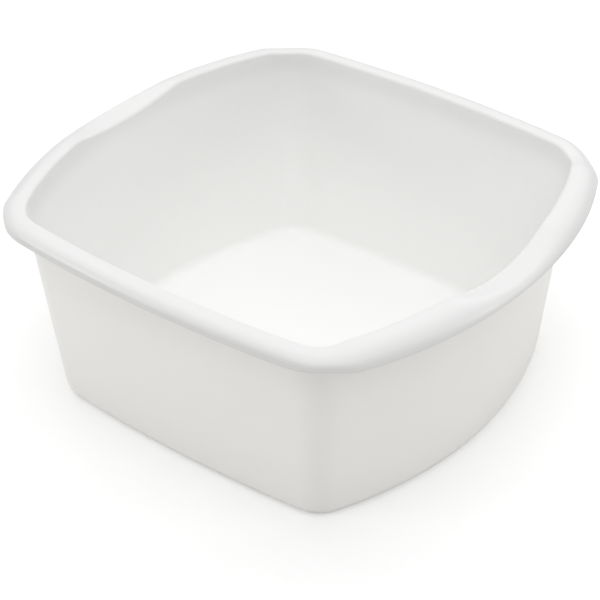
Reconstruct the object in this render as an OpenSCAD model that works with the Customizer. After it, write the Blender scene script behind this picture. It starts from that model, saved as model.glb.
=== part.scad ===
// Washing up bowl: one thin moulded shell with bowed sides, a rolled rim and two dipped end grips.
// The long axis is X, the origin is on the surface it stands on, under the middle of the bowl.
// Every horizontal outline is eight arcs that run into each other: two bowed ends, two almost
// straight sides and four corners. The shell is lofted between an outline at the mouth and a
// smaller one at the base, and its regions meet face to face on shared rings.

/* [Mouth] */
// Length of the mouth between the inner edges of the rim
mouth_length = 297; // [280:1:320]
// Width of the mouth between the inner edges of the rim
mouth_width = 276; // [262:1:290]
// Radius of the bowed ends at the mouth
mouth_end_radius = 266; // [240:2:320]
// Radius of the long sides at the mouth
mouth_side_radius = 960; // [800:10:1200]
// Radius of the corners at the mouth
mouth_corner_radius = 31; // [26:0.5:40]
// Height of the rim over the long sides
rim_height = 140; // [125:1:155]

/* [Base] */
// Length of the base, with its sides carried down to a sharp edge
base_length = 270; // [258:1:278]
// Width of the base, with its sides carried down to a sharp edge
base_width = 250; // [240:1:258]
// Radius of the bowed ends at the base
base_end_radius = 244; // [225:2:290]
// Radius of the long sides at the base
base_side_radius = 1020; // [850:10:1300]
// Radius of the corners at the base
base_corner_radius = 22.5; // [21:0.5:30]
// Outer radius of the bend from the walls into the floor
bend_radius = 9.5; // [7:0.5:10]
// Width of the flat band that the bowl stands on
foot_band_width = 9; // [5:0.5:10]
// How far the middle of the underside is set up from that band
foot_recess = 0.9; // [0.4:0.1:1.5]

/* [Thickness] */
// Thickness of the walls and the rim
wall_thickness = 2.2; // [1.8:0.1:2.5]
// Thickness of the floor
floor_thickness = 2.3; // [1.8:0.1:3]

/* [Rolled rim] */
// How far the rim reaches out at the ends
lip_width_end = 18.7; // [17:0.1:21]
// How far the rim reaches out at the corners
lip_width_corner = 14.6; // [13.5:0.1:17]
// How far the rim reaches out along the sides
lip_width_side = 13.7; // [12.5:0.1:16]
// Flat top outside the wall at the ends, before the rim curves down
flat_end = 0.9; // [0.5:0.1:4]
// Flat top outside the wall at the corners
flat_corner = 1.6; // [0.5:0.1:4]
// Flat top outside the wall along the sides
flat_side = 2.9; // [0.5:0.1:5]
// Height of the curve that rolls the rim over at the ends
roll_height_end = 11.4; // [9:0.1:13]
// Height of the same curve at the corners
roll_height_corner = 7.9; // [6.5:0.1:10]
// Height of the same curve along the sides
roll_height_side = 6; // [5:0.1:9]
// Straight drop of the rim's outer edge under that curve at the ends
skirt_end = 0.8; // [0.7:0.1:4]
// Straight drop of the rim's outer edge under that curve at the corners
skirt_corner = 0.8; // [0.7:0.1:4]
// Straight drop of the rim's outer edge under that curve along the sides
skirt_side = 3.6; // [0.7:0.1:5]
// How much lower the rim is at the corners than along the sides
corner_drop = 1.1; // [0:0.1:2]
// How much higher the rim is beside the grips than along the sides
end_rise = 1; // [0:0.1:2]
// Radius of the rim's inner edge
edge_radius = 2.1; // [1:0.1:2.2]
// Radius that rounds the rim's lower edge on both faces
lip_radius = 0.6; // [0.3:0.1:0.6]

/* [End grips] */
// Length of each dipped grip
grip_length = 95; // [80:1:110]
// How far the middle of a grip lies below the rim beside it
grip_dip = 6.7; // [4:0.1:8]
// How far the grip reaches out
grip_width = 19.2; // [18.5:0.1:21]
// Flat top of the grip outside the wall, before its tighter curve
grip_flat = 12.8; // [8:0.1:13]
// Height of that tighter curve
grip_roll_height = 5.3; // [4:0.1:7]
// Straight drop of the grip's outer edge under that curve
grip_skirt = 0.9; // [0.7:0.1:3]
// How much the grip's top rises from its inner edge to its outer curve
grip_rise = 0.5; // [0:0.1:1.5]

/* [Hidden] */

natural_white = [0.93, 0.93, 0.92];

// Heights of the two level planes where the wall meets the bend and the rim
bend_top = 14;
rim_collar = 19;
rim_bottom = rim_height - rim_collar;
// Top of the floor, and how far in from the base outline the bend ends and the band ends
floor_top = foot_recess + floor_thickness;
bend_margin = 0.6;
bend_reach = bend_radius + bend_margin;
band_reach = bend_reach + foot_band_width;
// Steps along a quarter of the outline: half a grip, the rest of the end, a corner, half a side
grip_steps = 8;
end_steps = 4;
corner_steps = 10;
side_steps = 6;
quarter_steps = grip_steps + end_steps + corner_steps + side_steps;
station_count = 4 * quarter_steps;
// Steps along the curves of a section
edge_steps = 3;
roll_steps = 7;
lip_steps = 2;
under_steps = 5;
bend_steps = 5;
// Chamfer where the rim's underside meets the wall
under_chamfer = 0.4;
// Directions, in degrees from the long axis, between which the rim changes its section
end_facing = 15;
corner_facing = 50;
side_facing = 85;

mouth = [mouth_length / 2, mouth_width / 2, mouth_end_radius, mouth_side_radius, mouth_corner_radius];
base = [base_length / 2, base_width / 2, base_end_radius, base_side_radius, base_corner_radius];

// Centres of an outline's end arc and side arc
function end_centre(plan) = [plan[0] - plan[2], 0];
function side_centre(plan) = [0, plan[1] - plan[3]];

// Centre of the corner arc, which touches both of them from inside
function corner_centre(plan) =
    let (from_end = plan[2] - plan[4],
         from_side = plan[3] - plan[4],
         gap = side_centre(plan) - end_centre(plan),
         along = (from_end ^ 2 - from_side ^ 2 + gap * gap) / (2 * norm(gap)),
         across = sqrt(from_end ^ 2 - along ^ 2),
         unit = gap / norm(gap))
    end_centre(plan) + along * unit + across * [-unit[1], unit[0]];

// Direction in which one arc runs into the next
function turn(plan, centre) =
    let (to_corner = corner_centre(plan) - centre) atan2(to_corner[1], to_corner[0]);

// Share of the end arc that the grip takes, the same at the mouth and the base
grip_share = asin(grip_length / 2 / mouth_end_radius) / turn(mouth, end_centre(mouth));

// Point of an arc, with the direction that it faces
function arc_point(centre, radius, angle) =
    [centre[0] + radius * cos(angle), centre[1] + radius * sin(angle), cos(angle), sin(angle)];

// Stations [x, y, outward x, outward y] of a quarter, from the middle of an end to that of a side
function quarter(plan) =
    let (end_turn = turn(plan, end_centre(plan)),
         side_turn = turn(plan, side_centre(plan)),
         grip_turn = end_turn * grip_share)
    concat(
        [for (i = [0 : grip_steps - 1])
            arc_point(end_centre(plan), plan[2], grip_turn * i / grip_steps)],
        [for (i = [0 : end_steps - 1])
            arc_point(end_centre(plan), plan[2], grip_turn + (end_turn - grip_turn) * i / end_steps)],
        [for (i = [0 : corner_steps - 1])
            arc_point(corner_centre(plan), plan[4], end_turn + (side_turn - end_turn) * i / corner_steps)],
        [for (i = [0 : side_steps])
            arc_point(side_centre(plan), plan[3], side_turn + (90 - side_turn) * i / side_steps)]);

// Mirrors a station about the Y axis, the X axis or both
function flip(station, sx, sy) = [sx * station[0], sy * station[1], sx * station[2], sy * station[3]];

// All stations of an outline, counterclockwise from the middle of the right end
function outline(plan) =
    let (part = quarter(plan), n = quarter_steps)
    concat(
        [for (i = [0 : n - 1]) part[i]],
        [for (i = [0 : n - 1]) flip(part[n - i], -1, 1)],
        [for (i = [0 : n - 1]) flip(part[i], -1, -1)],
        [for (i = [0 : n - 1]) flip(part[n - i], 1, -1)]);

mouth_stations = outline(mouth);
base_stations = outline(base);

// A point d outwards from a station, at height z
function place(station, d, z) =
    [station[0] + station[2] * d, station[1] + station[3] * d, z];

// Eases from 0 to 1
function ease(t) = (1 - cos(180 * min(1, max(0, t)))) / 2;

// Value at a station of what differs between the ends, the corners and the sides
function by_facing(station, at_end, at_corner, at_side) =
    let (facing = atan2(abs(station[3]), abs(station[2])),
         to_corner = ease((facing - end_facing) / (corner_facing - end_facing)),
         to_side = ease((facing - corner_facing) / (side_facing - corner_facing)))
    at_end + (at_corner - at_end) * to_corner + (at_side - at_corner) * to_side;

// Slope of the wall at a station, as outward run over height
function slope(k) =
    let (top = mouth_stations[k], low = base_stations[k],
         run = (top[0] - low[0]) * top[2] + (top[1] - low[1]) * top[3])
    (run + wall_thickness) / rim_height;

// How much of the grip's form a station has: all in a grip's middle, none at its ends or beyond
function grip_blend(k) = max(0, 1 - (mouth_stations[k][1] / (grip_length / 2)) ^ 2);

// Points of a quarter ellipse, from the first given angle to the second
function quarter_curve(centre, width, height, from, to, steps) =
    [for (i = [0 : steps]) let (a = from + (to - from) * i / steps)
        centre + [width * cos(a), height * sin(a)]];

// Section of a lip, as [outwards, upwards] from the inner edge: over the top, round the outer
// edge with its skirt, and back along the underside to the wall's outer face
function lip_section(width, flat, roll_height, skirt, rise) =
    let (start = [wall_thickness + flat, rise - roll_height],
         roll_width = width - wall_thickness - flat,
         foot = rise - roll_height - skirt + lip_radius,
         underside = rise - wall_thickness)
    concat(
        quarter_curve([edge_radius, -edge_radius], edge_radius, edge_radius, 180, 90, edge_steps),
        quarter_curve(start, roll_width, roll_height, 90, 0, roll_steps),
        quarter_curve([width - lip_radius, foot], lip_radius, lip_radius, 0, -90, lip_steps),
        quarter_curve([width - wall_thickness + lip_radius, foot],
                      lip_radius, lip_radius, -90, -180, lip_steps),
        quarter_curve(start, roll_width - wall_thickness, roll_height - wall_thickness,
                      0, 90, under_steps),
        [[wall_thickness + under_chamfer, underside],
         [wall_thickness, underside - under_chamfer]]);

// Section of the rim at a station, closed by the two faces of the wall under it
function rim_section(k) =
    let (top = mouth_stations[k],
         grip = grip_blend(k),
         lean = slope(k),
         level = rim_height + by_facing(top, end_rise, -corner_drop, 0),
         plain = lip_section(
             by_facing(top, lip_width_end, lip_width_corner, lip_width_side),
             by_facing(top, flat_end, flat_corner, flat_side),
             by_facing(top, roll_height_end, roll_height_corner, roll_height_side),
             by_facing(top, skirt_end, skirt_corner, skirt_side),
             0),
         dipped = lip_section(grip_width, grip_flat, grip_roll_height, grip_skirt, grip_rise),
         lowered = [-lean * grip_dip, -grip_dip],
         lip = [for (i = [0 : len(plain) - 1])
             plain[i] + (dipped[i] + lowered - plain[i]) * grip],
         inner_foot = -lean * rim_collar)
    concat(
        [place(top, inner_foot, rim_bottom)],
        [for (point = lip) place(top, point[0], level + point[1])],
        [place(top, inner_foot + wall_thickness, rim_bottom)]);

// Section of the bend at a station: the floor's top face, up the wall, and back underneath
function bend_section(k) =
    let (low = base_stations[k],
         lean = slope(k),
         tilt = atan(lean),
         inner_radius = bend_radius - wall_thickness,
         wall_inset = wall_thickness / cos(tilt),
         outer_mid = -bend_radius * (1 - sin(tilt)) / cos(tilt),
         inner_height = floor_top + inner_radius,
         inner_mid = (inner_height * sin(tilt) - wall_thickness - inner_radius) / cos(tilt))
    concat(
        [place(low, -bend_reach, floor_top)],
        [for (i = [0 : bend_steps]) let (a = (90 - tilt) * i / bend_steps)
            place(low, inner_mid + inner_radius * sin(a), inner_height - inner_radius * cos(a))],
        [place(low, lean * bend_top - wall_inset, bend_top),
         place(low, lean * bend_top, bend_top)],
        [for (i = [bend_steps : -1 : 0]) let (a = (90 - tilt) * i / bend_steps)
            place(low, outer_mid + bend_radius * sin(a), bend_radius * (1 - cos(a)))],
        [place(low, -bend_reach, 0)]);

// Section of the wall at a station, between the bend and the rim
function wall_section(k) =
    let (bend = bend_section(k), rim = rim_section(k))
    [bend[bend_steps + 2], rim[0], rim[len(rim) - 1], bend[bend_steps + 3]];

// Solid through a list of sections, each a closed ring of points, closed on itself or capped
module loft(sections, closed) {
    rings = len(sections);
    ring = len(sections[0]);
    last = closed ? rings - 1 : rings - 2;
    sides = [for (i = [0 : last]) for (j = [0 : ring - 1])
        let (here = i * ring, next = ((i + 1) % rings) * ring, up = (j + 1) % ring)
        each [[here + j, next + j, next + up], [here + j, next + up, here + up]]];
    caps = closed ? [] : [
        [for (j = [0 : ring - 1]) j],
        [for (j = [ring - 1 : -1 : 0]) (rings - 1) * ring + j]];
    polyhedron(points = [for (section = sections) each section], faces = concat(sides, caps));
}

// Outline of the base drawn in by a distance
module base_outline(inset) {
    polygon([for (s = base_stations) [s[0] - s[2] * inset, s[1] - s[3] * inset]]);
}

// Flat floor inside the foot band, set up from the surface underneath
module floor_panel() {
    color(natural_white)
    translate([0, 0, foot_recess])
    linear_extrude(floor_thickness)
        base_outline(band_reach);
}

// Flat band round the floor that the bowl stands on
module foot_band() {
    color(natural_white)
    linear_extrude(floor_top)
    difference() {
        base_outline(bend_reach);
        base_outline(band_reach);
    }
}

// Rounded bend that turns the floor up into the walls
module base_bend() {
    color(natural_white)
    loft([for (k = [0 : station_count - 1]) bend_section(k)], true);
}

// Leaning walls, from the bend to just under the rim
module wall_shell() {
    color(natural_white)
    loft([for (k = [0 : station_count - 1]) wall_section(k)], true);
}

// Length of rolled rim between two stations, with the top of the wall that carries it
module rim_length(first, count) {
    color(natural_white)
    loft([for (i = [0 : count]) rim_section((first + i) % station_count)], false);
}

plain_steps = station_count / 2 - 2 * grip_steps;

// Rolled rim along the front side and round both of its corners
module rim_front() {
    rim_length(station_count / 2 + grip_steps, plain_steps);
}

// Rolled rim along the back side and round both of its corners
module rim_back() {
    rim_length(grip_steps, plain_steps);
}

// Dipped grip in the rim of the left end
module grip_left() {
    rim_length(station_count / 2 - grip_steps, 2 * grip_steps);
}

// Dipped grip in the rim of the right end
module grip_right() {
    rim_length(station_count - grip_steps, 2 * grip_steps);
}

floor_panel();
foot_band();
base_bend();
wall_shell();
rim_front();
rim_back();
grip_left();
grip_right();
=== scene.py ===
"""A white moulded washing up bowl: a lofted shell with a rolled rim and two dipped end grips.

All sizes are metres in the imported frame: +Z up, +X along the bowl towards one grip, and the origin
on the ground under its middle. Every region of the moulding is one closed piece, and all of them
are lofted along the same two outlines, so neighbours share their edges point for point.
"""
import logging
import math
from dataclasses import dataclass, field
from enum import Enum

import bpy
import numpy as np
from mathutils import Matrix, Vector


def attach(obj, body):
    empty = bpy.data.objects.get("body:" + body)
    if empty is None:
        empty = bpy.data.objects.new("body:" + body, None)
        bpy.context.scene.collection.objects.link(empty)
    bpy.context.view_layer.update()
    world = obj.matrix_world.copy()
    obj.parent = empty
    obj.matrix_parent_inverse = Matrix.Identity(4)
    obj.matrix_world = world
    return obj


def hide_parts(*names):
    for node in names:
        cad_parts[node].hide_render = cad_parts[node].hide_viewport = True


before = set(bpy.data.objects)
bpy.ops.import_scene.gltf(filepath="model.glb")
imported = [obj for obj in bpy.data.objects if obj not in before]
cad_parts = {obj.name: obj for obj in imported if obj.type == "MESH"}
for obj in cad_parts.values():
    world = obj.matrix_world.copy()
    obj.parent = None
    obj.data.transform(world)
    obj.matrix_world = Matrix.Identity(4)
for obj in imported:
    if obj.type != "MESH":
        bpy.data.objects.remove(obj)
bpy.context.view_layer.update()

LOG = logging.getLogger("bowl")
Colour = tuple[float, float, float]
Pair = tuple[float, float]
MM = 0.001
CM3_PER_M3 = 1e6
KEYS_PER_METRE = 1e6
MERGE_DISTANCE = 1e-6
SHORTEST_NORMAL = 1e-30
PROFILE_RADIUS = 0.1
LEVEL_NORMAL = 0.5
BODY = "root"
# Attribute that holds the painted shade along the rim's lower edge.
EDGE_SHADE = "edge_shade"
PHOTO_WIDTH_PX = 600
SENSOR_WIDTH_MM = 36.0

# Stations of a quarter outline: half a grip, the rest of the end, the corner and half a side.
GRIP_STATIONS = 24
END_STATIONS = 24
CORNER_STATIONS = 44
SIDE_STATIONS = 28
QUARTER = GRIP_STATIONS + END_STATIONS + CORNER_STATIONS + SIDE_STATIONS
STATIONS = 4 * QUARTER

# Directions, in degrees, in which the end's, the corner's and the side's sections are met.
SECTION_KNOTS = {"End Facing": 15.0, "Corner Facing": 50.0, "Side Facing": 85.0}

# Steps along each part of a lip's section, in the order of its points.
EDGE_STEPS = 8
TOP_STEPS = 5
ROLL_STEPS = 22
SKIRT_STEPS = 2
FOOT_STEPS = 5
UNDER_STEPS = 14
FILLET_STEPS = 4
# Step of the roll at which the painted shade along the rim's lower edge begins.
SHADE_START = 14


class Key(Enum):
    """The four places whose rim sections are blended into all others."""

    END = "end"
    CORNER = "corner"
    SIDE = "side"
    GRIP = "grip"


@dataclass(frozen=True)
class PlanOutline:
    """An outline of eight arcs that run into each other: bowed ends, long sides and corners.

    Attributes:
        half_length: Half its length, in millimetres, like all that follow.
        half_width: Half its width.
        end_radius: Radius of the bowed ends.
        side_radius: Radius of the bowed long sides.
        corner_radius: Radius of the corners.
    """

    half_length: float
    half_width: float
    end_radius: float
    side_radius: float
    corner_radius: float

    @property
    def end_centre(self) -> Vector:
        """Centre of the arc of the right end."""
        return Vector((self.half_length - self.end_radius, 0.0))

    @property
    def side_centre(self) -> Vector:
        """Centre of the arc of the back side."""
        return Vector((0.0, self.half_width - self.side_radius))

    @property
    def corner_centre(self) -> Vector:
        """Centre of the corner arc, which touches the other two from inside."""
        from_end = self.end_radius - self.corner_radius
        from_side = self.side_radius - self.corner_radius
        gap = self.side_centre - self.end_centre
        along = (from_end ** 2 - from_side ** 2 + gap.length_squared) / (2 * gap.length)
        across = math.sqrt(from_end ** 2 - along ** 2)
        unit = gap.normalized()
        return self.end_centre + along * unit + across * Vector((-unit.y, unit.x))

    def turn(self, centre: Vector) -> float:
        """Direction, in radians, in which the arc about a centre runs into the corner."""
        to_corner = self.corner_centre - centre
        return math.atan2(to_corner.y, to_corner.x)

    @property
    def end_turn(self) -> float:
        """Direction in which the end runs into the corner."""
        return self.turn(self.end_centre)

    @property
    def side_turn(self) -> float:
        """Direction in which the corner runs into the side."""
        return self.turn(self.side_centre)


@dataclass(frozen=True)
class LipSection:
    """Section of the rim at one key place, in millimetres from the mouth's inner edge.

    Attributes:
        width: How far out the rim reaches.
        flat: Width of its flat top.
        roll_height: Height over which it rolls down.
        skirt: Height of the upright strip below the roll.
        level: Height of its top above the rim's nominal height.
        rise: How much the flat top climbs outwards.
        inward: How far the whole section is set inwards.
    """

    width: float
    flat: float
    roll_height: float
    skirt: float
    level: float
    rise: float = 0.0
    inward: float = 0.0

    def points(self, thickness: float, edge_radius: float, lip_radius: float) -> list[Pair]:
        """Outline over the top, round the outer edge and back along the underside.

        Args:
            thickness: Thickness of the plastic.
            edge_radius: Radius of the inner edge.
            lip_radius: Radius that rounds both lower edges.

        Returns:
            (outwards, upwards) pairs, the heights measured from the rim's nominal height.
        """
        start = thickness + self.flat
        roll_width = self.width - start
        middle = self.rise - self.roll_height
        foot = middle - self.skirt + lip_radius
        under = self.rise - thickness
        fillet = 0.9
        path = arc((edge_radius, -edge_radius), edge_radius, edge_radius, 180, 90, EDGE_STEPS)
        path += straight((edge_radius, 0.0), (start, self.rise), TOP_STEPS)
        path += arc((start, middle), roll_width, self.roll_height, 90, 0, ROLL_STEPS)
        path += straight((self.width, middle), (self.width, foot), SKIRT_STEPS)
        path += arc((self.width - lip_radius, foot), lip_radius, lip_radius, 0, -90, FOOT_STEPS)
        path += arc((self.width - thickness + lip_radius, foot), lip_radius, lip_radius, -90, -180,
                    FOOT_STEPS)
        path += arc((start, middle), roll_width - thickness, self.roll_height - thickness, 0, 90,
                    UNDER_STEPS)
        path += arc((thickness + fillet, under - fillet), fillet, fillet, 90, 180, FILLET_STEPS)
        return [(x - self.inward, z + self.level) for x, z in path]

    @staticmethod
    def shades() -> list[float]:
        """How far each of those points lies in the painted shade strip along the lower edge.

        Returns:
            A number from 0 to 1 for each point of points().
        """
        top = [0.0] * (EDGE_STEPS + TOP_STEPS)
        fade = ROLL_STEPS - SHADE_START
        roll = [max(0.0, (n - SHADE_START) / fade) for n in range(ROLL_STEPS + 1)]
        skirt = [1.0] * (SKIRT_STEPS - 1 + 2 * (FOOT_STEPS + 1))
        under = [1.0] * (UNDER_STEPS + 1)
        return top + roll + skirt + under + [0.0] * (FILLET_STEPS + 1)


def arc(centre: Pair, width: float, height: float, start: float, end: float,
        steps: int) -> list[Pair]:
    """Points of an elliptic arc.

    Args:
        centre: Centre of the ellipse.
        width: Half its width.
        height: Half its height.
        start: First angle, in degrees.
        end: Last angle, in degrees.
        steps: Number of steps between them.

    Returns:
        steps + 1 points.
    """
    turns = [math.radians(start + (end - start) * i / steps) for i in range(steps + 1)]
    return [(centre[0] + width * math.cos(t), centre[1] + height * math.sin(t)) for t in turns]


def straight(start: Pair, end: Pair, steps: int) -> list[Pair]:
    """Points between two others on a straight line, both left out.

    Args:
        start: First point.
        end: Last point.
        steps: Number of steps between them.

    Returns:
        steps - 1 points.
    """
    across, along = end[0] - start[0], end[1] - start[1]
    return [(start[0] + across * i / steps, start[1] + along * i / steps) for i in range(1, steps)]


@dataclass(frozen=True)
class BowlSizes:
    """Sizes shared by the regions of the moulding, in millimetres.

    Attributes:
        mouth: Outline of the walls' inner face at the height of the rim.
        base: Outline of their outer face at the ground.
        rim_height: Height of the rim over the long sides.
        wall: Thickness of the walls.
        floor: Thickness of the floor.
        bend_radius: Outer radius of the bend between floor and walls.
        bend_margin: Flat width between the bend and the foot band.
        bend_top: Height at which the walls begin.
        rim_collar: Height of the top of the wall that belongs to the rim.
        foot_band_width: Width of the band that the bowl stands on.
        foot_recess: Height of the floor's underside above the ground.
        grip_length: Length of a grip.
        grip_dip: How far a grip's top lies below the rim beside it.
        grip_ease: How softly a grip runs into the rim, as a share of its dip.
    """

    mouth: PlanOutline = PlanOutline(148.5, 138.0, 266.0, 960.0, 31.0)
    base: PlanOutline = PlanOutline(135.0, 125.0, 244.0, 1020.0, 22.5)
    rim_height: float = 140.0
    wall: float = 2.2
    floor: float = 2.3
    bend_radius: float = 9.5
    bend_margin: float = 0.6
    bend_top: float = 14.0
    rim_collar: float = 19.0
    foot_band_width: float = 9.0
    foot_recess: float = 0.9
    grip_length: float = 95.0
    grip_dip: float = 6.7
    grip_ease: float = 0.06

    @property
    def floor_top(self) -> float:
        """Height of the floor's upper face."""
        return self.foot_recess + self.floor

    @property
    def bend_reach(self) -> float:
        """How far in from the base outline the bend ends."""
        return self.bend_radius + self.bend_margin

    @property
    def band_reach(self) -> float:
        """How far in from the base outline the foot band ends."""
        return self.bend_reach + self.foot_band_width

    @property
    def lean(self) -> float:
        """Slope of the walls over the long sides and the ends, as run over height."""
        return (self.mouth.half_length + self.wall - self.base.half_length) / self.rim_height

    @property
    def grip_turn(self) -> float:
        """Direction of the mouth's end arc at a grip's end, in radians."""
        return math.asin(self.grip_length / 2 / self.mouth.end_radius)


SIZES = BowlSizes()


@dataclass
class SectionPoint:
    """A point of a region's section, given at each key place.

    Attributes:
        places: (outwards, upwards, share of the mouth outline) at each key place, in millimetres.
        spread: 1 on the outline and 0 where the section meets the bowl's middle.
        hidden: Whether the face from this point to the next lies against another region.
        shade: How far the point lies in the painted shade strip along the rim's lower edge, from 0
            to 1.
    """

    places: dict[Key, tuple[float, float, float]]
    spread: float = 1.0
    hidden: bool = False
    shade: float = 0.0


def same_everywhere(out: float, up: float, share: float, spread: float = 1.0,
                    hidden: bool = False) -> SectionPoint:
    """A section point that is the same at every key place."""
    return SectionPoint({key: (out, up, share) for key in Key}, spread, hidden)


def on_wall(out: float, up: float, hidden: bool = False) -> SectionPoint:
    """A section point measured outwards from the wall's inner face at its own height."""
    return same_everywhere(out, up, up / SIZES.rim_height, hidden=hidden)


def on_base(inset: float, up: float, spread: float = 1.0, hidden: bool = False) -> SectionPoint:
    """A section point measured inwards from the base outline."""
    return same_everywhere(SIZES.wall - inset, up, 0.0, spread, hidden)


class Field:
    """A number that varies over the mesh, as a socket of a node tree that arithmetic is done on."""

    def __init__(self, tree: bpy.types.NodeTree, socket: bpy.types.NodeSocket) -> None:
        """Wraps an output socket of a tree."""
        self.tree = tree
        self.socket = socket

    def _math(self, operation: str, *others: "Field | float", clamp: bool = False) -> "Field":
        """Adds a math node whose first input is this field.

        Args:
            operation: The node's operation.
            others: Its other inputs.
            clamp: Whether the result is kept between 0 and 1.

        Returns:
            The node's result.
        """
        node = self.tree.nodes.new("ShaderNodeMath")
        node.operation = operation
        node.use_clamp = clamp
        for slot, value in zip(node.inputs, (self, *others)):
            if isinstance(value, Field):
                self.tree.links.new(value.socket, slot)
            else:
                slot.default_value = value
        return Field(self.tree, node.outputs[0])

    def __add__(self, other: "Field | float") -> "Field":
        """Sum."""
        return self._math("ADD", other)

    def __sub__(self, other: "Field | float") -> "Field":
        """Difference."""
        return self._math("SUBTRACT", other)

    def __mul__(self, other: "Field | float") -> "Field":
        """Product."""
        return self._math("MULTIPLY", other)

    def __truediv__(self, other: "Field | float") -> "Field":
        """Quotient."""
        return self._math("DIVIDE", other)

    def floor(self) -> "Field":
        """Whole number below."""
        return self._math("FLOOR")

    def sine(self) -> "Field":
        """Sine of an angle in radians."""
        return self._math("SINE")

    def cosine(self) -> "Field":
        """Cosine of an angle in radians."""
        return self._math("COSINE")

    def sign(self) -> "Field":
        """-1, 0 or 1."""
        return self._math("SIGN")

    def root(self) -> "Field":
        """Square root."""
        return self._math("SQRT")

    def fold(self) -> "Field":
        """Runs from 0 to 1 and back again."""
        return self._math("PINGPONG", 1.0)

    def above(self, limit: "Field | float") -> "Field":
        """1 where this is greater than a limit, and 0 elsewhere."""
        return self._math("GREATER_THAN", limit)

    def between(self, low: "Field | float", high: "Field | float") -> "Field":
        """0 below one limit and 1 above another, with a straight run between them."""
        return (self - low)._math("DIVIDE", as_field(self, high) - low, clamp=True)

    def eased(self) -> "Field":
        """Turns a straight run from 0 to 1 into one with level ends."""
        return ((self * math.pi).cosine() * -0.5) + 0.5

    def to(self, other: "Field", share: "Field") -> "Field":
        """This field where a share is 0, another where it is 1, and a mixture between."""
        return self + (other - self) * share


def as_field(like: Field, value: "Field | float") -> Field:
    """A field for a plain number, in the tree of another field.

    Args:
        like: The other field.
        value: The number; a field is given back as it is.

    Returns:
        The field.
    """
    if isinstance(value, Field):
        return value
    node = like.tree.nodes.new("ShaderNodeValue")
    node.outputs[0].default_value = value
    return Field(like.tree, node.outputs[0])


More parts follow.
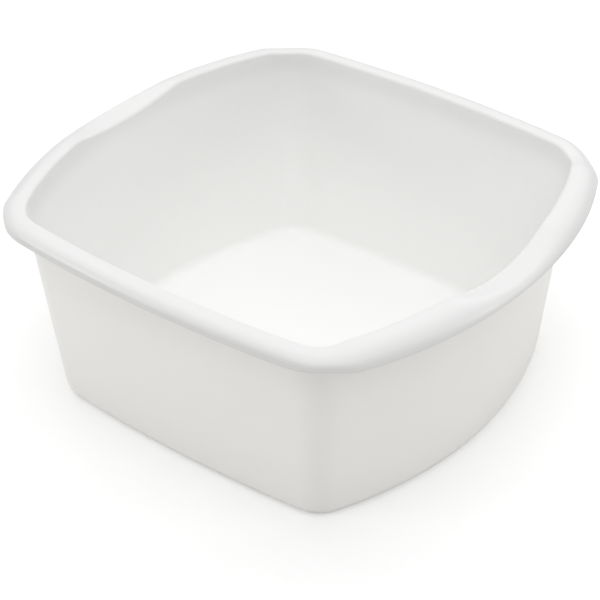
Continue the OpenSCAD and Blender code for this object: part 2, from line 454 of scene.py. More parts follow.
class LoftTree:
    """The node tree that carries a section round the bowl's two outlines."""

    OUTLINE_INPUTS = ("End Centre", "End Radius", "Corner Centre X", "Corner Centre Y",
                      "Corner Radius", "Side Centre", "Side Radius", "End Turn", "Side Turn",
                      "Grip Turn")

    def __init__(self) -> None:
        """Makes the tree."""
        self.tree = bpy.data.node_groups.new("bowl_loft", "GeometryNodeTree")
        self.identifiers: dict[str, str] = {}
        self._declare()
        self._build()

    def _declare(self) -> None:
        face = self.tree.interface
        face.new_socket(name="Geometry", in_out="INPUT", socket_type="NodeSocketGeometry")
        for name, kind in (("Section", "NodeSocketObject"), ("Plastic", "NodeSocketMaterial"),
                           ("Points In Section", "NodeSocketInt"), ("Stations", "NodeSocketInt"),
                           ("First Station", "NodeSocketInt"), ("Closed Path", "NodeSocketBool"),
                           ("Closed Section", "NodeSocketBool"),
                           ("Grip Half Length", "NodeSocketFloat"),
                           ("Grip Ease", "NodeSocketFloat"), ("End Facing", "NodeSocketFloat"),
                           ("Corner Facing", "NodeSocketFloat"), ("Side Facing", "NodeSocketFloat"),
                           ("Wall", "NodeSocketFloat")):
            self.identifiers[name] = face.new_socket(
                name=name, in_out="INPUT", socket_type=kind).identifier
        for plan in ("Mouth", "Base"):
            for size in self.OUTLINE_INPUTS:
                name = f"{plan} {size}"
                self.identifiers[name] = face.new_socket(
                    name=name, in_out="INPUT", socket_type="NodeSocketFloat").identifier
        face.new_socket(name="Geometry", in_out="OUTPUT", socket_type="NodeSocketGeometry")

    def _node(self, kind: str, **settings: object) -> bpy.types.Node:
        """Adds a node with some of its settings.

        Args:
            kind: The node's type.
            **settings: Its settings.

        Returns:
            The node.
        """
        node = self.tree.nodes.new(kind)
        for name, value in settings.items():
            setattr(node, name, value)
        return node

    def _join(self, source: bpy.types.NodeSocket, target: bpy.types.NodeSocket) -> None:
        """Links two sockets."""
        self.tree.links.new(source, target)

    def _outline(self, inputs: bpy.types.Node, plan: str,
                 quarter: Field) -> tuple[Field, Field, Field]:
        """Follows one outline.

        Args:
            inputs: The group's input node.
            plan: Which outline, Mouth or Base.
            quarter: 0 in the middle of an end and 1 in the middle of a side.

        Returns:
            The station's place in the first quarter, and the direction that it faces.
        """
        size = {name: Field(self.tree, inputs.outputs[f"{plan} {name}"])
                for name in self.OUTLINE_INPUTS}
        marks = [0.0, GRIP_STATIONS, GRIP_STATIONS + END_STATIONS, QUARTER - SIDE_STATIONS, QUARTER]
        runs = [quarter.between(low / QUARTER, high / QUARTER)
                for low, high in zip(marks, marks[1:])]
        facing = (runs[0] * size["Grip Turn"]
                  + runs[1] * (size["End Turn"] - size["Grip Turn"])
                  + runs[2] * (size["Side Turn"] - size["End Turn"])
                  + runs[3] * (as_field(quarter, math.pi / 2) - size["Side Turn"]))
        past_end = facing.above(size["End Turn"])
        past_corner = facing.above(size["Side Turn"])
        zero = as_field(quarter, 0.0)
        centre_x = size["End Centre"].to(size["Corner Centre X"], past_end).to(zero, past_corner)
        centre_y = zero.to(size["Corner Centre Y"], past_end).to(size["Side Centre"], past_corner)
        radius = size["End Radius"].to(size["Corner Radius"], past_end)
        radius = radius.to(size["Side Radius"], past_corner)
        return centre_x + radius * facing.cosine(), centre_y + radius * facing.sine(), facing

    def _curve(self, count: bpy.types.NodeSocket, closed: bpy.types.NodeSocket,
               radius: float = 1.0) -> bpy.types.NodeSocket:
        """A curve with a given number of points.

        Args:
            count: How many points it has.
            closed: Whether it is a ring or a line.
            radius: Radius of the ring.

        Returns:
            The curve.
        """
        ring = self._node("GeometryNodeCurvePrimitiveCircle")
        self._join(count, ring.inputs["Resolution"])
        ring.inputs["Radius"].default_value = radius
        line = self._node("GeometryNodeCurvePrimitiveLine")
        spaced = self._node("GeometryNodeResampleCurve")
        self._join(line.outputs[0], spaced.inputs["Curve"])
        self._join(count, spaced.inputs["Count"])
        return self._pick(closed, spaced.outputs[0], ring.outputs[0])

    def _pick(self, choice: bpy.types.NodeSocket, off: bpy.types.NodeSocket,
              on: bpy.types.NodeSocket) -> bpy.types.NodeSocket:
        """Takes one of two geometries.

        Args:
            choice: Whether the second is taken.
            off: The first.
            on: The second.

        Returns:
            The one that is taken.
        """
        switch = self._node("GeometryNodeSwitch", input_type="GEOMETRY")
        self._join(choice, switch.inputs["Switch"])
        self._join(off, switch.inputs["False"])
        self._join(on, switch.inputs["True"])
        return switch.outputs[0]

    def _sampled(self, section: bpy.types.NodeSocket, index: Field, name: str) -> list[Field]:
        """Reads what a section's points hold under a name.

        Args:
            section: The section's geometry.
            index: Which of its points is read.
            name: Name of the attribute.

        Returns:
            The attribute's three numbers.
        """
        named = self._node("GeometryNodeInputNamedAttribute", data_type="FLOAT_VECTOR")
        named.inputs["Name"].default_value = name
        sample = self._node("GeometryNodeSampleIndex", data_type="FLOAT_VECTOR", domain="POINT")
        self._join(section, sample.inputs["Geometry"])
        self._join(named.outputs["Attribute"], sample.inputs["Value"])
        self._join(index.socket, sample.inputs["Index"])
        parts = self._node("ShaderNodeSeparateXYZ")
        self._join(sample.outputs[0], parts.inputs[0])
        return [Field(self.tree, socket) for socket in parts.outputs]

    def _build(self) -> None:
        """Adds the nodes."""
        inputs = self._node("NodeGroupInput")
        output = self._node("NodeGroupOutput")
        skin = self._node("GeometryNodeCurveToMesh")
        given = inputs.outputs
        self._join(self._curve(given["Stations"], given["Closed Path"]), skin.inputs["Curve"])
        self._join(self._curve(given["Points In Section"], given["Closed Section"], PROFILE_RADIUS),
                   skin.inputs["Profile Curve"])
        skin.inputs["Fill Caps"].default_value = True

        count = Field(self.tree, given["Points In Section"])
        index = Field(self.tree, self._node("GeometryNodeInputIndex").outputs[0])
        row = ((index + 0.5) / count).floor()
        column = index - row * count
        loop = (row + Field(self.tree, given["First Station"])) * (1.0 / QUARTER)
        quarter = loop.fold()
        side_x = (loop * (math.pi / 2)).cosine().sign()
        side_y = (loop * (math.pi / 2)).sine().sign()

        mouth_x, mouth_y, facing = self._outline(inputs, "Mouth", quarter)
        base_x, base_y, base_facing = self._outline(inputs, "Base", quarter)
        wall = Field(self.tree, given["Wall"])

        knots = [Field(self.tree, given[name]) for name in SECTION_KNOTS]
        to_corner = facing.between(knots[0], knots[1]).eased()
        to_side = facing.between(knots[1], knots[2]).eased()
        along = mouth_y / Field(self.tree, given["Grip Half Length"])
        dip = as_field(along, 1.0) - along * along
        ease = Field(self.tree, given["Grip Ease"])
        grip = (dip + (dip * dip + ease * ease).root()) * 0.5

        info = self._node("GeometryNodeObjectInfo")
        self._join(given["Section"], info.inputs["Object"])
        keys = {key: self._sampled(info.outputs["Geometry"], column, key.value) for key in Key}
        spread, shade = self._sampled(info.outputs["Geometry"], column, "extras")[:2]
        out, up, share = (
            keys[Key.END][n].to(keys[Key.CORNER][n], to_corner).to(keys[Key.SIDE][n], to_side)
            .to(keys[Key.GRIP][n], grip) for n in range(3))

        inner_x = base_x + base_facing.cosine() * (out - wall)
        inner_y = base_y + base_facing.sine() * (out - wall)
        outer_x = mouth_x + facing.cosine() * out
        outer_y = mouth_y + facing.sine() * out
        place = self._node("ShaderNodeCombineXYZ")
        self._join((inner_x.to(outer_x, share) * side_x * spread).socket, place.inputs["X"])
        self._join((inner_y.to(outer_y, share) * side_y * spread).socket, place.inputs["Y"])
        self._join(up.socket, place.inputs["Z"])

        moved = self._node("GeometryNodeSetPosition")
        self._join(skin.outputs[0], moved.inputs["Geometry"])
        self._join(place.outputs[0], moved.inputs["Position"])
        # Keeps each point's share of the painted shade along the rim's lower edge for the material.
        stored = self._node("GeometryNodeStoreNamedAttribute", data_type="FLOAT", domain="POINT")
        stored.inputs["Name"].default_value = EDGE_SHADE
        self._join(moved.outputs[0], stored.inputs["Geometry"])
        self._join(shade.socket, stored.inputs["Value"])
        merged = self._node("GeometryNodeMergeByDistance")
        self._join(stored.outputs[0], merged.inputs["Geometry"])
        merged.inputs["Distance"].default_value = MERGE_DISTANCE
        realized = self._node("GeometryNodeRealizeInstances")
        self._join(merged.outputs[0], realized.inputs[0])
        coated = self._node("GeometryNodeSetMaterial")
        self._join(realized.outputs[0], coated.inputs["Geometry"])
        self._join(given["Plastic"], coated.inputs["Material"])
        self._join(coated.outputs[0], output.inputs[0])

    def values(self, sizes: BowlSizes) -> dict[str, float]:
        """The tree's inputs that are the same for every region.

        Args:
            sizes: The bowl's sizes.

        Returns:
            The inputs' names and values, in metres and radians.
        """
        same = {"Grip Half Length": sizes.grip_length / 2 * MM, "Grip Ease": sizes.grip_ease,
                "Wall": sizes.wall * MM}
        same.update({name: math.radians(facing) for name, facing in SECTION_KNOTS.items()})
        share = sizes.grip_turn / sizes.mouth.end_turn
        for name, plan in (("Mouth", sizes.mouth), ("Base", sizes.base)):
            numbers = (plan.end_centre.x * MM, plan.end_radius * MM, plan.corner_centre.x * MM,
                       plan.corner_centre.y * MM, plan.corner_radius * MM, plan.side_centre.y * MM,
                       plan.side_radius * MM, plan.end_turn, plan.side_turn, plan.end_turn * share)
            same.update({f"{name} {size}": number
                         for size, number in zip(self.OUTLINE_INPUTS, numbers)})
        return same


@dataclass
class Region:
    """One region of the moulding, as a section that is carried along a stretch of the outlines.

    Attributes:
        name: Name of the finished piece.
        node: The CAD node that it stands for.
        first: Station at which the stretch begins, from the middle of the right end.
        count: Number of stations in the stretch.
        whole: Whether the stretch runs all the way round.
        ring: Whether the section is a closed ring.
        points: The section's points, once it is built.
        piece: The finished piece, once it is built.
    """

    name: str
    node: str
    first: int = 0
    count: int = STATIONS
    whole: bool = True
    ring: bool = True
    points: list[SectionPoint] = field(default_factory=list)
    piece: bpy.types.Object | None = None

    def section(self) -> list[SectionPoint]:
        """The region's section; each kind of region has its own."""
        raise NotImplementedError

    def _section_object(self) -> bpy.types.Object:
        """Holds the section's points and what they are at each key place.

        Returns:
            An object with one vertex for each point.
        """
        mesh = bpy.data.meshes.new(f"{self.name}_section")
        mesh.vertices.add(len(self.points))
        for key in Key:
            values = [(point.places[key][0] * MM, point.places[key][1] * MM, point.places[key][2])
                      for point in self.points]
            mesh.attributes.new(key.value, "FLOAT_VECTOR", "POINT").data.foreach_set(
                "vector", np.ravel(values))
        extras = [(point.spread, point.shade, 0.0) for point in self.points]
        mesh.attributes.new("extras", "FLOAT_VECTOR", "POINT").data.foreach_set(
            "vector", np.ravel(extras))
        holder = bpy.data.objects.new(mesh.name, mesh)
        bpy.context.scene.collection.objects.link(holder)
        return holder

    def build(self, loft: LoftTree, plastic: bpy.types.Material) -> bpy.types.Object:
        """Lofts the region and turns the result into a plain mesh.

        Args:
            loft: The node tree.
            plastic: The material of its faces.

        Returns:
            The finished piece, at the origin.
        """
        self.points = self.section()
        holder = self._section_object()
        blank = bpy.data.meshes.new(f"{self.name}_carrier")
        carrier = bpy.data.objects.new(blank.name, blank)
        bpy.context.scene.collection.objects.link(carrier)
        modifier = carrier.modifiers.new("loft", "NODES")
        modifier.node_group = loft.tree
        values: dict[str, object] = dict(loft.values(SIZES))
        values.update({"Section": holder, "Plastic": plastic, "Points In Section": len(self.points),
                       "Stations": self.count, "First Station": self.first,
                       "Closed Path": self.whole, "Closed Section": self.ring})
        for name, value in values.items():
            modifier[loft.identifiers[name]] = value
        carrier.update_tag()
        graph = bpy.context.evaluated_depsgraph_get()
        mesh = bpy.data.meshes.new_from_object(carrier.evaluated_get(graph))
        mesh.name = self.name
        self.piece = bpy.data.objects.new(self.name, mesh)
        bpy.context.scene.collection.objects.link(self.piece)
        for spare in (carrier, holder):
            bpy.data.objects.remove(spare)
        if signed_volume(mesh) < 0:
            mesh.flip_normals()
        mesh.polygons.foreach_set("use_smooth", np.ones(len(mesh.polygons), bool))
        return self.piece

    def hidden_faces(self) -> np.ndarray:
        """Finds the faces that lie against a neighbouring region.

        Returns:
            A flag for each face.
        """
        mesh = self.piece.data
        faces = len(mesh.polygons)
        if not self.ring:
            centres = np.empty(faces * 3)
            mesh.polygons.foreach_get("center", centres)
            normals = np.empty(faces * 3)
            mesh.polygons.foreach_get("normal", normals)
            return np.abs(normals.reshape(-1, 3)[:, 2]) < LEVEL_NORMAL
        flags = np.array([point.hidden for point in self.points])
        rows = self.count if self.whole else self.count - 1
        hidden = np.ones(faces, bool)
        hidden[:rows * len(flags)] = np.tile(flags, rows)
        return hidden

    def dress(self) -> None:
        """Ties the piece to its body and hides the CAD node that it stands for."""
        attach(self.piece, BODY)
        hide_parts(self.node)


def signed_volume(mesh: bpy.types.Mesh) -> float:
    """Volume inside a closed mesh.

    Args:
        mesh: The mesh.

    Returns:
        Cubic metres, negative where the faces point inwards.
    """
    mesh.calc_loop_triangles()
    corners = np.empty(len(mesh.vertices) * 3)
    mesh.vertices.foreach_get("co", corners)
    corners = corners.reshape(-1, 3)
    triangles = np.empty(len(mesh.loop_triangles) * 3, np.int32)
    mesh.loop_triangles.foreach_get("vertices", triangles)
    a, b, c = (corners[triangles.reshape(-1, 3)[:, n]] for n in range(3))
    return float(np.einsum("ij,ij->i", a, np.cross(b, c)).sum() / 6)


@dataclass
class FloorPanel(Region):
    """The flat floor inside the foot band, in a number of rings."""

    rings: int = 6

    def section(self) -> list[SectionPoint]:
        """From the middle out along the top, and back underneath.

        Returns:
            The section's points.
        """
        reach = SIZES.band_reach
        spreads = [n / self.rings for n in range(self.rings + 1)]
        return ([on_base(reach, SIZES.floor_top, spread) for spread in spreads]
                + [on_base(reach, SIZES.foot_recess, spread) for spread in reversed(spreads)])


@dataclass
class FootBand(Region):
    """The flat band that the bowl stands on, with a small edge round the recess inside it."""

    edge: float = 0.25

    def section(self) -> list[SectionPoint]:
        """Along the top, down, back underneath and up the recess.

        Returns:
            The section's points.
        """
        inner, outer = SIZES.band_reach, SIZES.bend_reach
        return [on_base(inner, SIZES.floor_top), on_base(outer, SIZES.floor_top, hidden=True),
                on_base(outer, 0.0), on_base(inner - self.edge, 0.0), on_base(inner, self.edge),
                on_base(inner, SIZES.foot_recess, hidden=True)]


@dataclass
class BaseBend(Region):
    """The bend from the floor up into the walls, with an inner and an outer radius."""

    steps: int = 14

    def section(self) -> list[SectionPoint]:
        """Round the inside, up to the wall, and back round the outside.

        Returns:
            The section's points.
        """
        radius, wall, lean = SIZES.bend_radius, SIZES.wall, SIZES.lean
        tilt = math.atan(lean)
        inner = radius - wall
        height = SIZES.floor_top + inner
        outer_mid = wall - radius * (1 - math.sin(tilt)) / math.cos(tilt)
        inner_mid = wall + (height * math.sin(tilt) - wall - inner) / math.cos(tilt)
        sweep = 90 - math.degrees(tilt)

        def leaning(out: float, up: float) -> SectionPoint:
            """A point of a curve that ends on the leaning wall."""
            return on_wall(out - lean * up, up)

        inside = arc((inner_mid, height), inner, inner, -90, sweep - 90, self.steps)
        outside = arc((outer_mid, radius), radius, radius, sweep - 90, -90, self.steps)
        return ([on_base(SIZES.bend_reach, SIZES.floor_top)]
                + [leaning(*point) for point in inside]
                + [on_wall(0.0, SIZES.bend_top, hidden=True), on_wall(wall, SIZES.bend_top)]
                + [leaning(*point) for point in outside]
                + [on_base(SIZES.bend_reach, 0.0, hidden=True)])


@dataclass
class WallShell(Region):
    """The leaning walls between the bend and the rim."""

    rows: int = 10

    def section(self) -> list[SectionPoint]:
        """Up the inside and down the outside.

        Returns:
            The section's points.
        """
        low, high = SIZES.bend_top, SIZES.rim_height - SIZES.rim_collar
        heights = [low + (high - low) * n / self.rows for n in range(self.rows + 1)]
        inside = [on_wall(0.0, height) for height in heights]
        outside = [on_wall(SIZES.wall, height) for height in reversed(heights)]
        inside[-1].hidden = outside[-1].hidden = True
        return inside + outside


@dataclass
class RolledRim(Region):
    """A stretch of the rolled rim with the top of the wall that carries it.

    Attributes:
        edge_radius: Radius of the mouth's inner edge, in millimetres.
        lip_radius: Radius that rounds the lower edges, in millimetres.
        end: The rim's section at the ends.
        corner: Its section at the corners.
        side: Its section along the sides.
        grip: Its section in the middle of a grip.
    """

    edge_radius: float = 2.1
    lip_radius: float = 0.6
    end: LipSection = LipSection(18.7, 0.9, 11.4, 0.8, 1.0)
    corner: LipSection = LipSection(14.6, 1.6, 7.9, 0.8, -1.1)
    side: LipSection = LipSection(13.7, 2.9, 6.0, 3.6, 0.0)
    grip: LipSection = LipSection(19.2, 12.8, 5.3, 0.9, 1.0 - SIZES.grip_dip, 0.5,
                                  SIZES.lean * SIZES.grip_dip)

    def section(self) -> list[SectionPoint]:
        """From the wall's inner face over the rim to its outer face.

        Returns:
            The section's points.
        """
        wall, height = SIZES.wall, SIZES.rim_height
        lips = {Key.END: self.end, Key.CORNER: self.corner, Key.SIDE: self.side,
                Key.GRIP: self.grip}
        outlines = {key: lip.points(wall, self.edge_radius, self.lip_radius)
                    for key, lip in lips.items()}
        collar = height - SIZES.rim_collar
        # Each point carries its share of the painted shade along the lip's lower edge.
        shades = LipSection.shades()
        over = [SectionPoint({key: (outlines[key][n][0], height + outlines[key][n][1], 1.0)
                              for key in Key}, shade=shade) for n, shade in enumerate(shades)]
        return ([on_wall(0.0, collar), on_wall(0.0, height - SIZES.rim_collar / 2)] + over
                + [on_wall(wall, collar, hidden=True)])


def share_normals(regions: list[Region]) -> None:
    """Gives neighbouring regions the same shading where they meet, so that no seam shows.

    Args:
        regions: All the regions, already built.
    """
    corner_keys, corner_normals, spans = [], [], []
    for region in regions:
        mesh = region.piece.data
        loops = len(mesh.loops)
        vertex = np.empty(loops, np.int32)
        mesh.loops.foreach_get("vertex_index", vertex)
        places = np.empty(len(mesh.vertices) * 3)
        mesh.vertices.foreach_get("co", places)
        normals = np.empty(len(mesh.polygons) * 3)
        mesh.polygons.foreach_get("normal", normals)
        areas = np.empty(len(mesh.polygons))
        mesh.polygons.foreach_get("area", areas)
        totals = np.empty(len(mesh.polygons), np.int32)
        mesh.polygons.foreach_get("loop_total", totals)
        face = np.repeat(np.arange(len(mesh.polygons)), totals)
        hidden = region.hidden_faces()[face]
        spans.append((mesh, hidden, normals.reshape(-1, 3)[face]))
        keys = np.round(places.reshape(-1, 3)[vertex] * KEYS_PER_METRE)
        corner_keys.append(keys.astype(np.int64))
        corner_normals.append(normals.reshape(-1, 3)[face] * areas[face, None] * ~hidden[:, None])
    _, groups = np.unique(np.concatenate(corner_keys), axis=0, return_inverse=True)
    groups = groups.ravel()
    sums = np.zeros((groups.max() + 1, 3))
    np.add.at(sums, groups, np.concatenate(corner_normals))
    start = 0
    for mesh, hidden, flat in spans:
        smooth = sums[groups[start:start + len(hidden)]]
        length = np.linalg.norm(smooth, axis=1, keepdims=True)
        smooth = np.where(length > 0, smooth / np.maximum(length, SHORTEST_NORMAL), flat)
        mesh.normals_split_custom_set(np.where(hidden[:, None], flat, smooth).tolist())
        start += len(hidden)


@dataclass(frozen=True)
class MouldedPlastic:
    """Smooth white polypropylene with the faint texture of a moulding, and painted light and shade.

    Attributes:
        wall_color: Colour of the floor and of the walls' inside, lightened as painted light.
        outer_lit_color: Colour of the walls' outside, a warmer, lighter tone of painted light.
        rim_shade_color: Rim colour, darkened as painted shade: the doubled rim passes less light.
        edge_shade_color: Colour of the painted shade strip along the rim's lower edge.
        rim_blend: Heights over which the walls' colour turns into the rim's painted shade, in
            metres.
        outer_blend: How far out a surface faces where the outside's painted light tone begins and is
            full.
        roughness: Mean roughness of the surface.
        roughness_range: How far the roughness strays to either side.
        roughness_scale: Scale of that variation.
        cloud_low: Darkest tone of the faint clouds in the colour.
        cloud_scale: Scale of the clouds.
        noise_range: Part of a noise's values that is stretched over a whole range.
        peel_scale: Scale of the fine moulded texture.
        peel_depth: Depth of that texture, in metres.
        ripple_scale: Scale of the broad ripple.
        ripple_depth: Depth of the ripple, in metres.
        index: Index of refraction.
    """

    wall_color: Colour = (0.973, 0.972, 0.962)
    outer_lit_color: Colour = (0.984, 0.972, 0.944)
    rim_shade_color: Colour = (0.897, 0.896, 0.891)
    edge_shade_color: Colour = (0.79, 0.785, 0.775)
    rim_blend: Pair = (0.118, 0.135)
    outer_blend: Pair = (0.02, 0.08)
    roughness: float = 0.33
    roughness_range: float = 0.03
    roughness_scale: float = 160.0
    cloud_low: float = 0.985
    cloud_scale: float = 9.0
    noise_range: Pair = (0.3, 0.7)
    peel_scale: float = 240.0
    peel_depth: float = 0.000004
    ripple_scale: float = 22.0
    ripple_depth: float = 0.00004
    index: float = 1.49

    def material(self) -> bpy.types.Material:
        """Builds the node tree of the plastic.

        Returns:
            The material.
        """
        plastic = bpy.data.materials.new("white_polypropylene")
        plastic.use_nodes = True
        tree = plastic.node_tree
        shader = tree.nodes["Principled BSDF"]
        place = tree.nodes.new("ShaderNodeTexCoord").outputs["Object"]

        def noise(scale: float, detail: float) -> bpy.types.NodeSocket:
            """Solid noise over the object.

            Args:
                scale: Its scale.
                detail: Its number of octaves.

            Returns:
                The noise.
            """
            node = tree.nodes.new("ShaderNodeTexNoise")
            node.inputs["Scale"].default_value = scale
            node.inputs["Detail"].default_value = detail
            tree.links.new(place, node.inputs["Vector"])
            return node.outputs["Fac"]

        def ranged(source: bpy.types.NodeSocket, low: float, high: float) -> bpy.types.NodeSocket:
            """Stretches a noise between two values.

            Args:
                source: The noise.
                low: The lower value.
                high: The upper value.

            Returns:
                The result.
            """
            node = tree.nodes.new("ShaderNodeMapRange")
            for name, value in zip(("From Min", "From Max", "To Min", "To Max"),
                                   (*self.noise_range, low, high)):
                node.inputs[name].default_value = value
            tree.links.new(source, node.inputs["Value"])
            return node.outputs["Result"]

        def mixed(low: Colour | bpy.types.NodeSocket, high: Colour | bpy.types.NodeSocket,
                  share: float | bpy.types.NodeSocket, blend: str = "MIX") -> bpy.types.NodeSocket:
            """Mixes two colours.

            Args:
                low: Colour where the share is 0.
                high: Colour where it is 1.
                share: The share, as a number or a socket.
                blend: How the second colour is laid over the first.

            Returns:
                The mixture.
            """
            node = tree.nodes.new("ShaderNodeMix")
            node.data_type = "RGBA"
            node.blend_type = blend
            for name, value in (("Factor", share), ("A", low), ("B", high)):
                if isinstance(value, bpy.types.NodeSocket):
                    tree.links.new(value, node.inputs[name])
                elif isinstance(value, tuple):
                    node.inputs[name].default_value = (*value, 1.0)
                else:
                    node.inputs[name].default_value = value
            return node.outputs["Result"]

        def bump(scale: float, detail: float, depth: float) -> bpy.types.Node:
            """Lifts the surface by a noise.

            Args:
                scale: Scale of the noise.
                detail: Its number of octaves.
                depth: Its depth, in metres.

            Returns:
                The bump node.
            """
            node = tree.nodes.new("ShaderNodeBump")
            node.inputs["Distance"].default_value = depth
            tree.links.new(noise(scale, detail), node.inputs["Height"])
            return node

        parts = tree.nodes.new("ShaderNodeSeparateXYZ")
        tree.links.new(place, parts.inputs[0])
        # Painted shade: the colour darkens from the walls' towards the rim's near the top.
        rim_shade_share = Field(tree, parts.outputs["Z"]).between(*self.rim_blend).eased()
        # Painted light: surfaces that face outwards take the warmer, lighter outer tone.
        facing = tree.nodes.new("ShaderNodeVectorMath")
        facing.operation = "DOT_PRODUCT"
        tree.links.new(place, facing.inputs[0])
        tree.links.new(tree.nodes.new("ShaderNodeNewGeometry").outputs["Normal"], facing.inputs[1])
        outward = Field(tree, facing.outputs["Value"]).between(*self.outer_blend)
        # Painted shade: a darker strip along the rim's lower edge, read from the lofted attribute.
        edge = tree.nodes.new("ShaderNodeAttribute")
        edge.attribute_name = EDGE_SHADE
        walls = mixed(self.wall_color, self.outer_lit_color, outward.socket)
        body = mixed(walls, self.rim_shade_color, rim_shade_share.socket)
        body = mixed(body, self.edge_shade_color, edge.outputs["Fac"])
        clouds = mixed((self.cloud_low,) * 3, (1.0,) * 3,
                       ranged(noise(self.cloud_scale, 3.0), 0.0, 1.0))
        tree.links.new(mixed(body, clouds, 1.0, "MULTIPLY"), shader.inputs["Base Color"])
        rough = ranged(noise(self.roughness_scale, 4.0), self.roughness - self.roughness_range,
                       self.roughness + self.roughness_range)
        tree.links.new(rough, shader.inputs["Roughness"])

        ripple = bump(self.ripple_scale, 1.0, self.ripple_depth)
        peel = bump(self.peel_scale, 2.0, self.peel_depth)
        tree.links.new(ripple.outputs["Normal"], peel.inputs["Normal"])
        tree.links.new(peel.outputs["Normal"], shader.inputs["Normal"])
        shader.inputs["IOR"].default_value = self.index
        return plastic


@dataclass(frozen=True)
class PhotoCamera:
    """The photograph's viewpoint, as found from the outlines of the bowl.

    Attributes:
        azimuth: Direction that it stands in, in degrees from the front (-Y) towards the right (+X).
        elevation: Height above the horizon, in degrees.
        distance: Distance from the point that it is aimed at, in metres.
        roll: Turn about the line of sight, in degrees.
        focal_px: Focal length, in pixels of the photograph.
        centre_px: Where the point that it is aimed at stands in the photograph.
        target_height: Height of that point above the ground, in metres.
        clip: Nearest and farthest distance that it sees, in metres.
    """

    azimuth: float = 39.28
    elevation: float = 35.18
    distance: float = 1.3205
    roll: float = -1.21
    focal_px: float = 2046.5
    centre_px: Pair = (304.70, 303.05)
    target_height: float = 0.04802
    clip: Pair = (0.01, 50.0)

    def build(self) -> bpy.types.Object:
        """Makes the camera and gives it to the scene.

        Returns:
            The camera.
        """
        a, e, r = (math.radians(x) for x in (self.azimuth, self.elevation, self.roll))
        back = Vector((math.sin(a) * math.cos(e), -math.cos(a) * math.cos(e), math.sin(e)))
        level = (-back).cross(Vector((0, 0, 1))).normalized()
        up = level.cross(-back)
        right = level * math.cos(r) + up * math.sin(r)
        top = up * math.cos(r) - level * math.sin(r)
        lens = bpy.data.cameras.new("photo_camera")
        lens.sensor_width = SENSOR_WIDTH_MM
        lens.lens = self.focal_px / PHOTO_WIDTH_PX * SENSOR_WIDTH_MM
        half = PHOTO_WIDTH_PX / 2
        lens.shift_x = (half - self.centre_px[0]) / PHOTO_WIDTH_PX
        lens.shift_y = (self.centre_px[1] - half) / PHOTO_WIDTH_PX
        lens.clip_start, lens.clip_end = self.clip
        camera = bpy.data.objects.new("photo_camera", lens)
        place = Vector((0, 0, self.target_height)) + back * self.distance
        turn = Matrix((right, top, back)).transposed().to_4x4()
        camera.matrix_world = Matrix.Translation(place) @ turn
        bpy.context.scene.collection.objects.link(camera)
        bpy.context.scene.camera = camera
        return camera


@dataclass(frozen=True)
class Softbox:
    """A square lamp that faces the bowl from a distance.

    Attributes:
        name: What it is called.
        azimuth: Direction that it stands in, in degrees from the front (-Y) towards the right (+X).
        elevation: Height above the horizon, in degrees.
        power: Power in watts.
        size: Length of its sides, in metres.
        distance: Distance from the bowl, in metres.
    """

    name: str
    azimuth: float
    elevation: float
    power: float
    size: float = 1.7
    distance: float = 2.0

    def build(self) -> bpy.types.Object:
        """Makes the lamp.

        Returns:
            The lamp.
        """
        a, e = math.radians(self.azimuth), math.radians(self.elevation)
        away = Vector((math.sin(a) * math.cos(e), -math.cos(a) * math.cos(e), math.sin(e)))
        light = bpy.data.lights.new(self.name, "AREA")
        light.size = self.size
        light.energy = self.power
        lamp = bpy.data.objects.new(self.name, light)
        turn = away.to_track_quat("Z", "Y").to_matrix().to_4x4()
        lamp.matrix_world = Matrix.Translation(away * self.distance) @ turn
        bpy.context.scene.collection.objects.link(lamp)
        return lamp


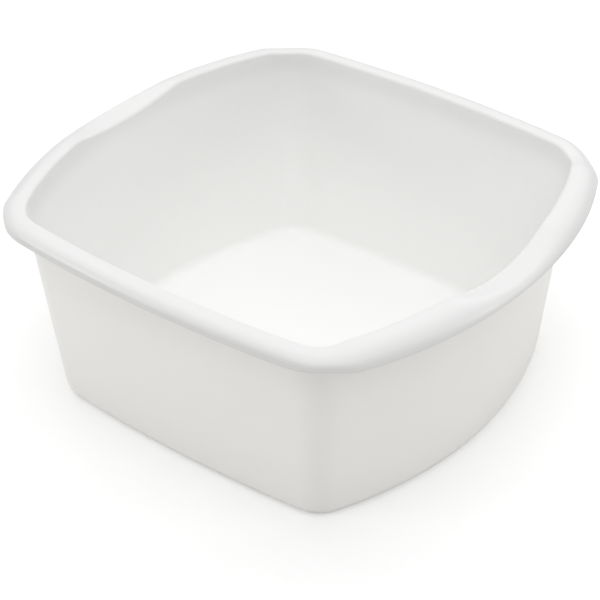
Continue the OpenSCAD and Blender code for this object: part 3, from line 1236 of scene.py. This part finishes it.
@dataclass(frozen=True)
class Studio:
    """A white floor under a soft sky that is brightest overhead, with softboxes round the bowl.

    Attributes:
        floor_size: Length of the floor's sides, in metres.
        floor_color: How much light the floor sends back to the bowl.
        floor_seen: The floor's tone as the camera sees it.
        floor_glow: Glow that only the camera sees, which lightens the shadows.
        white_beyond: Distances between which the floor turns plain white to the camera, in metres.
        horizon: The sky's strength at the horizon.
        zenith: The sky's strength overhead.
        softboxes: The lamps.
    """

    floor_size: float = 12.0
    floor_color: float = 0.95
    floor_seen: float = 0.78
    floor_glow: float = 0.33
    white_beyond: Pair = (0.42, 1.0)
    horizon: float = 0.0
    zenith: float = 0.471
    softboxes: tuple[Softbox, ...] = (
        Softbox("top_softbox", 219.0, 85.0, 2.23, 0.8, 1.3),
        Softbox("front_softbox", 39.0, 60.0, 14.7),
        Softbox("back_softbox", 219.0, 30.0, 4.7),
        Softbox("back_left_softbox", 264.0, 45.0, 5.3),
        Softbox("back_right_softbox", 174.0, 45.0, 7.5),
        Softbox("low_left_softbox", -42.0, 9.0, 6.7, 0.6),
        Softbox("low_right_softbox", 120.0, 9.0, 5.7, 0.6),
    )

    def build(self) -> None:
        """Makes the floor, the world and the lamps."""
        self._floor()
        self._world()
        for softbox in self.softboxes:
            softbox.build()

    def _floor(self) -> None:
        """A plain floor that the camera sees as white except where the bowl shades it."""
        half = self.floor_size / 2
        mesh = bpy.data.meshes.new("studio_floor")
        corners = [(-half, -half, 0), (half, -half, 0), (half, half, 0), (-half, half, 0)]
        mesh.from_pydata(corners, [], [(0, 1, 2, 3)])
        floor = bpy.data.objects.new("studio_floor", mesh)
        bpy.context.scene.collection.objects.link(floor)
        material = bpy.data.materials.new("studio_floor")
        material.use_nodes = True
        tree = material.node_tree
        tree.nodes.clear()
        seen = tree.nodes.new("ShaderNodeLightPath").outputs["Is Camera Ray"]
        shade = tree.nodes.new("ShaderNodeMix")
        shade.data_type = "RGBA"
        tree.links.new(seen, shade.inputs["Factor"])
        shade.inputs["A"].default_value = (self.floor_color,) * 3 + (1.0,)
        shade.inputs["B"].default_value = (self.floor_seen,) * 3 + (1.0,)
        paper = tree.nodes.new("ShaderNodeBsdfDiffuse")
        tree.links.new(shade.outputs["Result"], paper.inputs["Color"])
        glow = tree.nodes.new("ShaderNodeEmission")
        reach = tree.nodes.new("ShaderNodeVectorMath")
        reach.operation = "LENGTH"
        tree.links.new(tree.nodes.new("ShaderNodeTexCoord").outputs["Object"], reach.inputs[0])
        far = Field(tree, reach.outputs["Value"]).between(*self.white_beyond).eased()
        strength = Field(tree, seen) * (far * (1.0 - self.floor_glow) + self.floor_glow)
        tree.links.new(strength.socket, glow.inputs["Strength"])
        both = tree.nodes.new("ShaderNodeAddShader")
        tree.links.new(paper.outputs[0], both.inputs[0])
        tree.links.new(glow.outputs[0], both.inputs[1])
        out = tree.nodes.new("ShaderNodeOutputMaterial")
        tree.links.new(both.outputs[0], out.inputs["Surface"])
        mesh.materials.append(material)

    def _world(self) -> None:
        """White to the camera, and a soft light on the bowl that is brightest overhead."""
        world = bpy.data.worlds.new("studio")
        bpy.context.scene.world = world
        world.use_nodes = True
        tree = world.node_tree
        tree.nodes.clear()
        path = tree.nodes.new("ShaderNodeLightPath")
        seen = tree.nodes.new("ShaderNodeBackground")
        seen.inputs["Strength"].default_value = 1.0
        light = tree.nodes.new("ShaderNodeBackground")
        upward = tree.nodes.new("ShaderNodeSeparateXYZ")
        tree.links.new(tree.nodes.new("ShaderNodeTexCoord").outputs["Generated"], upward.inputs[0])
        height = tree.nodes.new("ShaderNodeMapRange")
        height.inputs["To Min"].default_value = self.horizon
        height.inputs["To Max"].default_value = self.zenith
        tree.links.new(upward.outputs["Z"], height.inputs["Value"])
        tree.links.new(height.outputs["Result"], light.inputs["Strength"])
        mix = tree.nodes.new("ShaderNodeMixShader")
        tree.links.new(path.outputs["Is Camera Ray"], mix.inputs["Fac"])
        tree.links.new(light.outputs[0], mix.inputs[1])
        tree.links.new(seen.outputs[0], mix.inputs[2])
        for node in (seen, light):
            node.inputs["Color"].default_value = (1.0, 1.0, 1.0, 1.0)
        out = tree.nodes.new("ShaderNodeOutputWorld")
        tree.links.new(mix.outputs[0], out.inputs["Surface"])


def main() -> None:
    """Builds the bowl and its studio in order."""
    logging.basicConfig(level=logging.INFO, format="%(name)s: %(message)s")
    bpy.context.scene.view_settings.view_transform = "Standard"
    PhotoCamera().build()
    plastic = MouldedPlastic().material()
    loft = LoftTree()
    half = STATIONS // 2
    grip = 2 * GRIP_STATIONS
    plain = half - grip
    regions: list[Region] = [
        FloorPanel("bowl_floor", "floor_panel", ring=False),
        FootBand("bowl_foot_band", "foot_band"),
        BaseBend("bowl_base_bend", "base_bend"),
        WallShell("bowl_walls", "wall_shell"),
        RolledRim("bowl_rim_front", "rim_front", half + GRIP_STATIONS, plain + 1, False),
        RolledRim("bowl_rim_back", "rim_back", GRIP_STATIONS, plain + 1, False),
        RolledRim("bowl_grip_left", "grip_left", half - GRIP_STATIONS, grip + 1, False),
        RolledRim("bowl_grip_right", "grip_right", STATIONS - GRIP_STATIONS, grip + 1, False),
    ]
    for region in regions:
        region.build(loft, plastic)
    share_normals(regions)
    for region in regions:
        region.dress()
        LOG.info("%s: %d faces, %.1f cm3", region.name, len(region.piece.data.polygons),
                 signed_volume(region.piece.data) * CM3_PER_M3)
    Studio().build()


if __name__ == "__main__":
    main()
